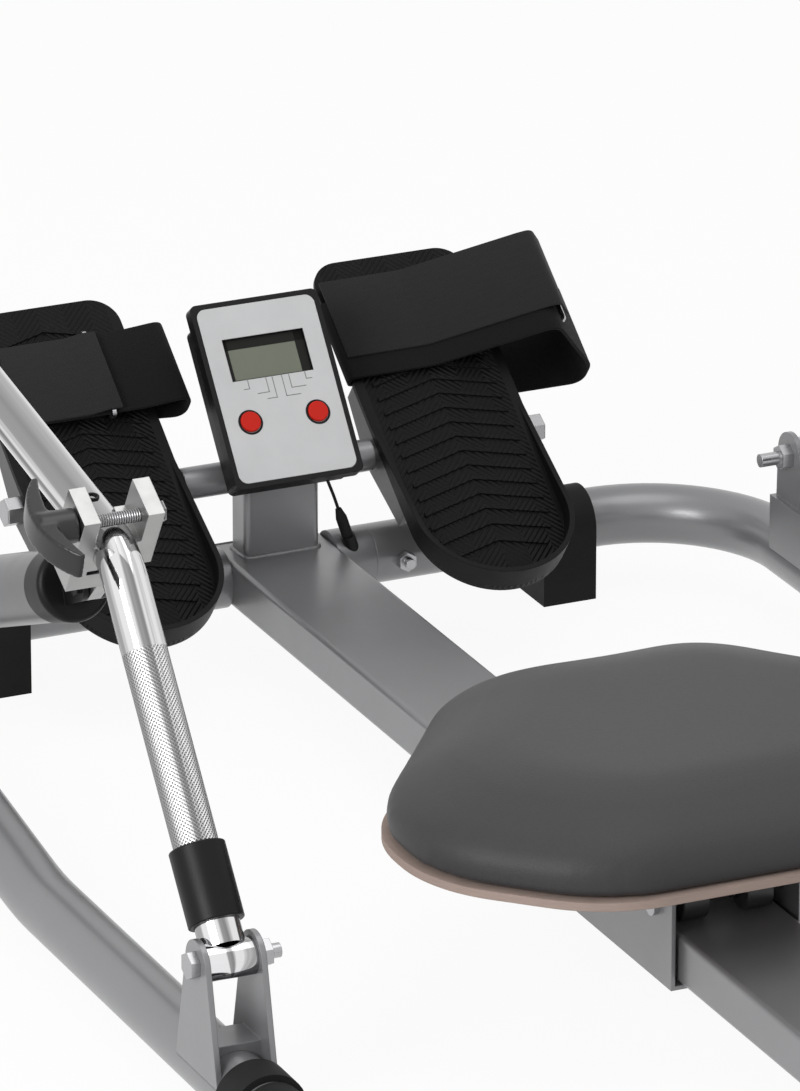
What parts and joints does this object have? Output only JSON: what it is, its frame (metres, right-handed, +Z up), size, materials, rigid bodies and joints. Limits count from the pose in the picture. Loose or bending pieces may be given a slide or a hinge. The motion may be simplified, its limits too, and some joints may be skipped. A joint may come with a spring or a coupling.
{
  "type": "hydraulic rowing machine",
  "caption": "Low home rowing machine with swinging chrome arms on hydraulic cylinders, tilting footplates with straps, a display console and a padded seat that rolls on a flat centre beam.",
  "frame": {"origin": "on the floor under the middle of the whole machine", "axes": "+Z up, +Y from the seat to the footplates, +X to the rower's right"},
  "size_m": [0.8518, 1.2675, 0.4169],
  "materials": {
    "frame_paint": "satin silver-grey paint",
    "cylinder_paint": "grey paint",
    "chrome": "bright chrome",
    "zinc": "bright zinc plate",
    "steel": "zinc-plated steel",
    "black_plastic": "fine matt black plastic",
    "black_rubber": "black rubber",
    "footplate_plastic": "moulded black plastic",
    "strap_web": "dark woven band",
    "foam": "black foam",
    "label": "light grey printed sheet",
    "screen": "grey-green display",
    "board": "green board",
    "button_red": "red plastic",
    "vinyl": "dark grey vinyl",
    "base_board": "pale moulded board",
    "roller_plastic": "black nylon"
  },
  "bodies": {
    "frame": {"main_beam": "frame_paint", "beam_end_caps": "black_plastic", "front_crossmember": "frame_paint", "outrigger_left": "frame_paint", "outrigger_right": "frame_paint", "outrigger_bolts": "steel", "outrigger_end_caps": "black_rubber", "front_feet": "black_rubber", "rear_feet": "black_rubber", "rear_stabiliser": "frame_paint", "stabiliser_caps": "black_rubber", "console_post": "frame_paint", "pedal_tube": "frame_paint", "pedal_axle": "chrome", "pedal_axle_nuts": "steel", "console_front": "black_plastic", "console_label": "label", "console_screen": "screen", "console_board": "board", "console_back": "black_plastic", "console_screws": "steel", "console_bracket": "frame_paint", "sensor_jack": "black_plastic", "sensor_plug": "black_rubber", "sensor_lead": "black_rubber", "arm_brackets": "frame_paint", "cylinder_brackets": "frame_paint", "pivot_bolts": "steel"},
    "foot_left": {"footplate_left": "footplate_plastic", "foot_strap_left": "strap_web", "strap_ring_left": "steel"},
    "button_left": {"console_button_left": "button_red"},
    "arm_left": {"arm_left": "chrome", "arm_sleeve_left": "black_plastic", "arm_grip_left": "foam", "clamp_jaws_left": "zinc", "clamp_bolt_left": "steel"},
    "knob_left": {"clamp_knob_left": "black_plastic"},
    "rod_left": {"piston_rod_left": "chrome"},
    "cylinder_left": {"cylinder_left": "cylinder_paint", "cylinder_cap_left": "black_plastic"},
    "foot_right": {"footplate_right": "footplate_plastic", "foot_strap_right": "strap_web", "strap_ring_right": "steel"},
    "button_right": {"console_button_right": "button_red"},
    "arm_right": {"arm_right": "chrome", "arm_sleeve_right": "black_plastic", "arm_grip_right": "foam", "clamp_jaws_right": "zinc", "clamp_bolt_right": "steel"},
    "knob_right": {"clamp_knob_right": "black_plastic"},
    "rod_right": {"piston_rod_right": "chrome"},
    "cylinder_right": {"cylinder_right": "cylinder_paint", "cylinder_cap_right": "black_plastic"},
    "seat": {"seat_pad": "vinyl", "seat_base": "base_board", "seat_carriage": "frame_paint", "seat_axles": "steel"},
    "roller_front": {"seat_roller_front": "roller_plastic"},
    "roller_rear": {"seat_roller_rear": "roller_plastic"}
  },
  "joints": [
    {"name": "seat_slide", "type": "slide", "parent": "frame", "child": "seat", "axis": [0, 1, 0], "range_m": [-0.25, 0.3]},
    {"name": "roller_front_spin", "type": "hinge", "parent": "seat", "child": "roller_front", "pos_m": [0, -0.11828, 0.0861], "axis": [1, 0, 0], "continuous": true},
    {"name": "roller_rear_spin", "type": "hinge", "parent": "seat", "child": "roller_rear", "pos_m": [0, -0.24228, 0.0861], "axis": [1, 0, 0], "continuous": true},
    {"name": "footplate_left_tilt", "type": "hinge", "parent": "frame", "child": "foot_left", "pos_m": [-0.145, 0.50372, 0.133], "axis": [1, 0, 0], "range_deg": [-25, 15]},
    {"name": "button_left_press", "type": "slide", "parent": "frame", "child": "button_left", "axis": [0, 0.7912, -0.6115], "range_m": [0, 0.0012], "stiffness_N_per_m": 900, "springref_m": -0.0006},
    {"name": "arm_left_swing", "type": "hinge", "parent": "frame", "child": "arm_left", "pos_m": [-0.366, -0.25128, 0.107], "axis": [1, 0, 0], "range_deg": [0, 45]},
    {"name": "knob_left_turn", "type": "hinge", "parent": "arm_left", "child": "knob_left", "pos_m": [-0.366, -0.06966, 0.35333], "axis": [1, 0, 0], "continuous": true},
    {"name": "rod_left_swing", "type": "hinge", "parent": "frame", "child": "rod_left", "pos_m": [-0.366, 0.35372, 0.141], "axis": [1, 0, 0], "range_deg": [-2.37, 0.05]},
    {"name": "cylinder_left_slide", "type": "slide", "parent": "rod_left", "child": "cylinder_left", "axis": [0, -0.9286, 0.371], "range_m": [-0.0002, 0.22339]},
    {"name": "footplate_right_tilt", "type": "hinge", "parent": "frame", "child": "foot_right", "pos_m": [0.145, 0.50372, 0.133], "axis": [1, 0, 0], "range_deg": [-25, 15]},
    {"name": "button_right_press", "type": "slide", "parent": "frame", "child": "button_right", "axis": [0, 0.7912, -0.6115], "range_m": [0, 0.0012], "stiffness_N_per_m": 900, "springref_m": -0.0006},
    {"name": "arm_right_swing", "type": "hinge", "parent": "frame", "child": "arm_right", "pos_m": [0.366, -0.25128, 0.107], "axis": [1, 0, 0], "range_deg": [0, 45]},
    {"name": "knob_right_turn", "type": "hinge", "parent": "arm_right", "child": "knob_right", "pos_m": [0.366, -0.06966, 0.35333], "axis": [1, 0, 0], "continuous": true},
    {"name": "rod_right_swing", "type": "hinge", "parent": "frame", "child": "rod_right", "pos_m": [0.366, 0.35372, 0.141], "axis": [1, 0, 0], "range_deg": [-2.37, 0.05]},
    {"name": "cylinder_right_slide", "type": "slide", "parent": "rod_right", "child": "cylinder_right", "axis": [0, -0.9286, 0.371], "range_m": [-0.0002, 0.22339]}
  ],
  "couplings": [
    {"joint": "roller_front_spin", "follows": "seat_slide", "rad_per_m": -71.429},
    {"joint": "roller_rear_spin", "follows": "seat_slide", "rad_per_m": -71.429},
    {"joint": "rod_left_swing", "follows": "arm_left_swing", "ratio": -0.05163},
    {"joint": "cylinder_left_slide", "follows": "arm_left_swing", "m_per_rad": 0.28417},
    {"joint": "rod_right_swing", "follows": "arm_right_swing", "ratio": -0.05163},
    {"joint": "cylinder_right_slide", "follows": "arm_right_swing", "m_per_rad": 0.28417}
  ]
}
